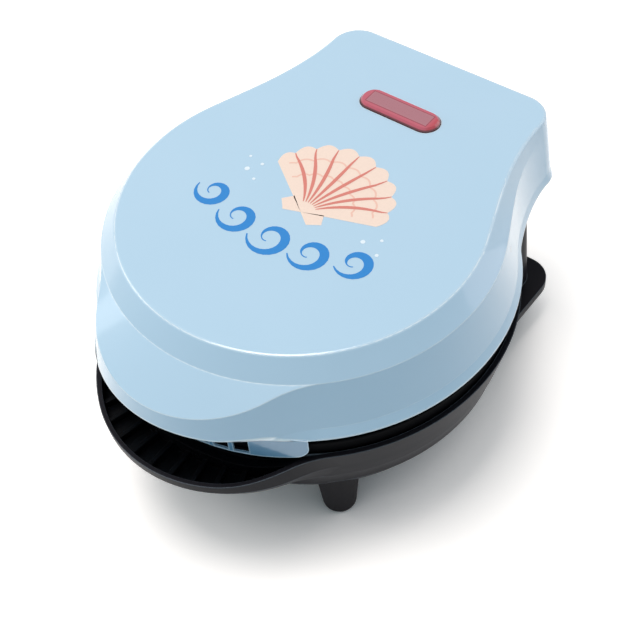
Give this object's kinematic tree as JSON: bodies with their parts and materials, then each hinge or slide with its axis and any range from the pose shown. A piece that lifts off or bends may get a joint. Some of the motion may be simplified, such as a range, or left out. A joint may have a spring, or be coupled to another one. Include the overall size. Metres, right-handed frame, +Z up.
{
  "type": "shaped waffle maker",
  "caption": "Small round waffle maker with a hinged lid, visor handle over a tray handle, and two heated cast plates with a blossom-shaped waffle cavity.",
  "frame": {"origin": "on the ground below the centre of the round body, which is the middle of the bounding box's bottom", "axes": "+Z up, -Y towards the front handles, +Y towards the rear hinge, X across"},
  "size_m": [0.1274, 0.1532, 0.0825],
  "materials": {
    "lid_cover": "glossy light blue plastic",
    "black_cover": "satin black plastic",
    "black_bezel": "matt black heat-resistant plastic",
    "cast_plate": "cast aluminium with a black non-stick coat",
    "heater_sheath": "dull annealed steel tube",
    "ceramic": "unglazed white ceramic",
    "tinned_terminal": "plated brass",
    "bright_sheet": "bright rolled aluminium sheet",
    "spring_strip": "plated steel strip",
    "screw_steel": "zinc plated steel",
    "thermostat_body": "dark moulded body with a metal cap",
    "fuse_can": "plated can with tinned leads",
    "glass_sleeve": "woven glass sleeve",
    "wire_cover": "silicone rubber covering",
    "lead_cover": "black silicone rubber",
    "foot_rubber": "black rubber",
    "lens": "clear tinted plastic, satin inside",
    "lamp_glass": "small glass lamp",
    "lamp_bracket": "white heat-resistant plastic",
    "resistor": "lacquered resistor"
  },
  "bodies": {
    "base": {"base_shell": "black_cover", "base_bezel": "black_bezel", "lower_plate": "cast_plate", "lower_element": "heater_sheath", "lower_seals": "ceramic", "lower_terminals": "tinned_terminal", "lower_clips": "spring_strip", "lower_clip_screws": "screw_steel", "lower_reflector": "bright_sheet", "lower_plate_screws": "screw_steel", "thermostat": "thermostat_body", "thermostat_bracket": "spring_strip", "thermostat_screws": "screw_steel", "thermal_fuse": "fuse_can", "fuse_sleeve": "glass_sleeve", "terminal_block": "ceramic", "base_wires": "wire_cover", "base_lead": "lead_cover", "base_screws": "screw_steel", "feet": "foot_rubber"},
    "lid": {"lid_shell": "lid_cover", "finger_grip": "lid_cover", "lid_bezel": "black_bezel", "upper_plate": "cast_plate", "upper_element": "heater_sheath", "upper_seals": "ceramic", "upper_terminals": "tinned_terminal", "upper_clips": "spring_strip", "upper_clip_screws": "screw_steel", "upper_reflector": "bright_sheet", "upper_plate_screws": "screw_steel", "indicator_lens": "lens", "indicator_lamp": "lamp_glass", "lamp_holder": "lamp_bracket", "lamp_resistor": "resistor", "lid_screws": "screw_steel", "lid_wires": "wire_cover", "lid_lead": "lead_cover", "hinge_pins": "screw_steel"}
  },
  "joints": [
    {"name": "lid_hinge", "type": "hinge", "parent": "base", "child": "lid", "pos_m": [0, 0.067, 0.053], "axis": [-1, 0, 0], "range_deg": [0, 100]}
  ]
}
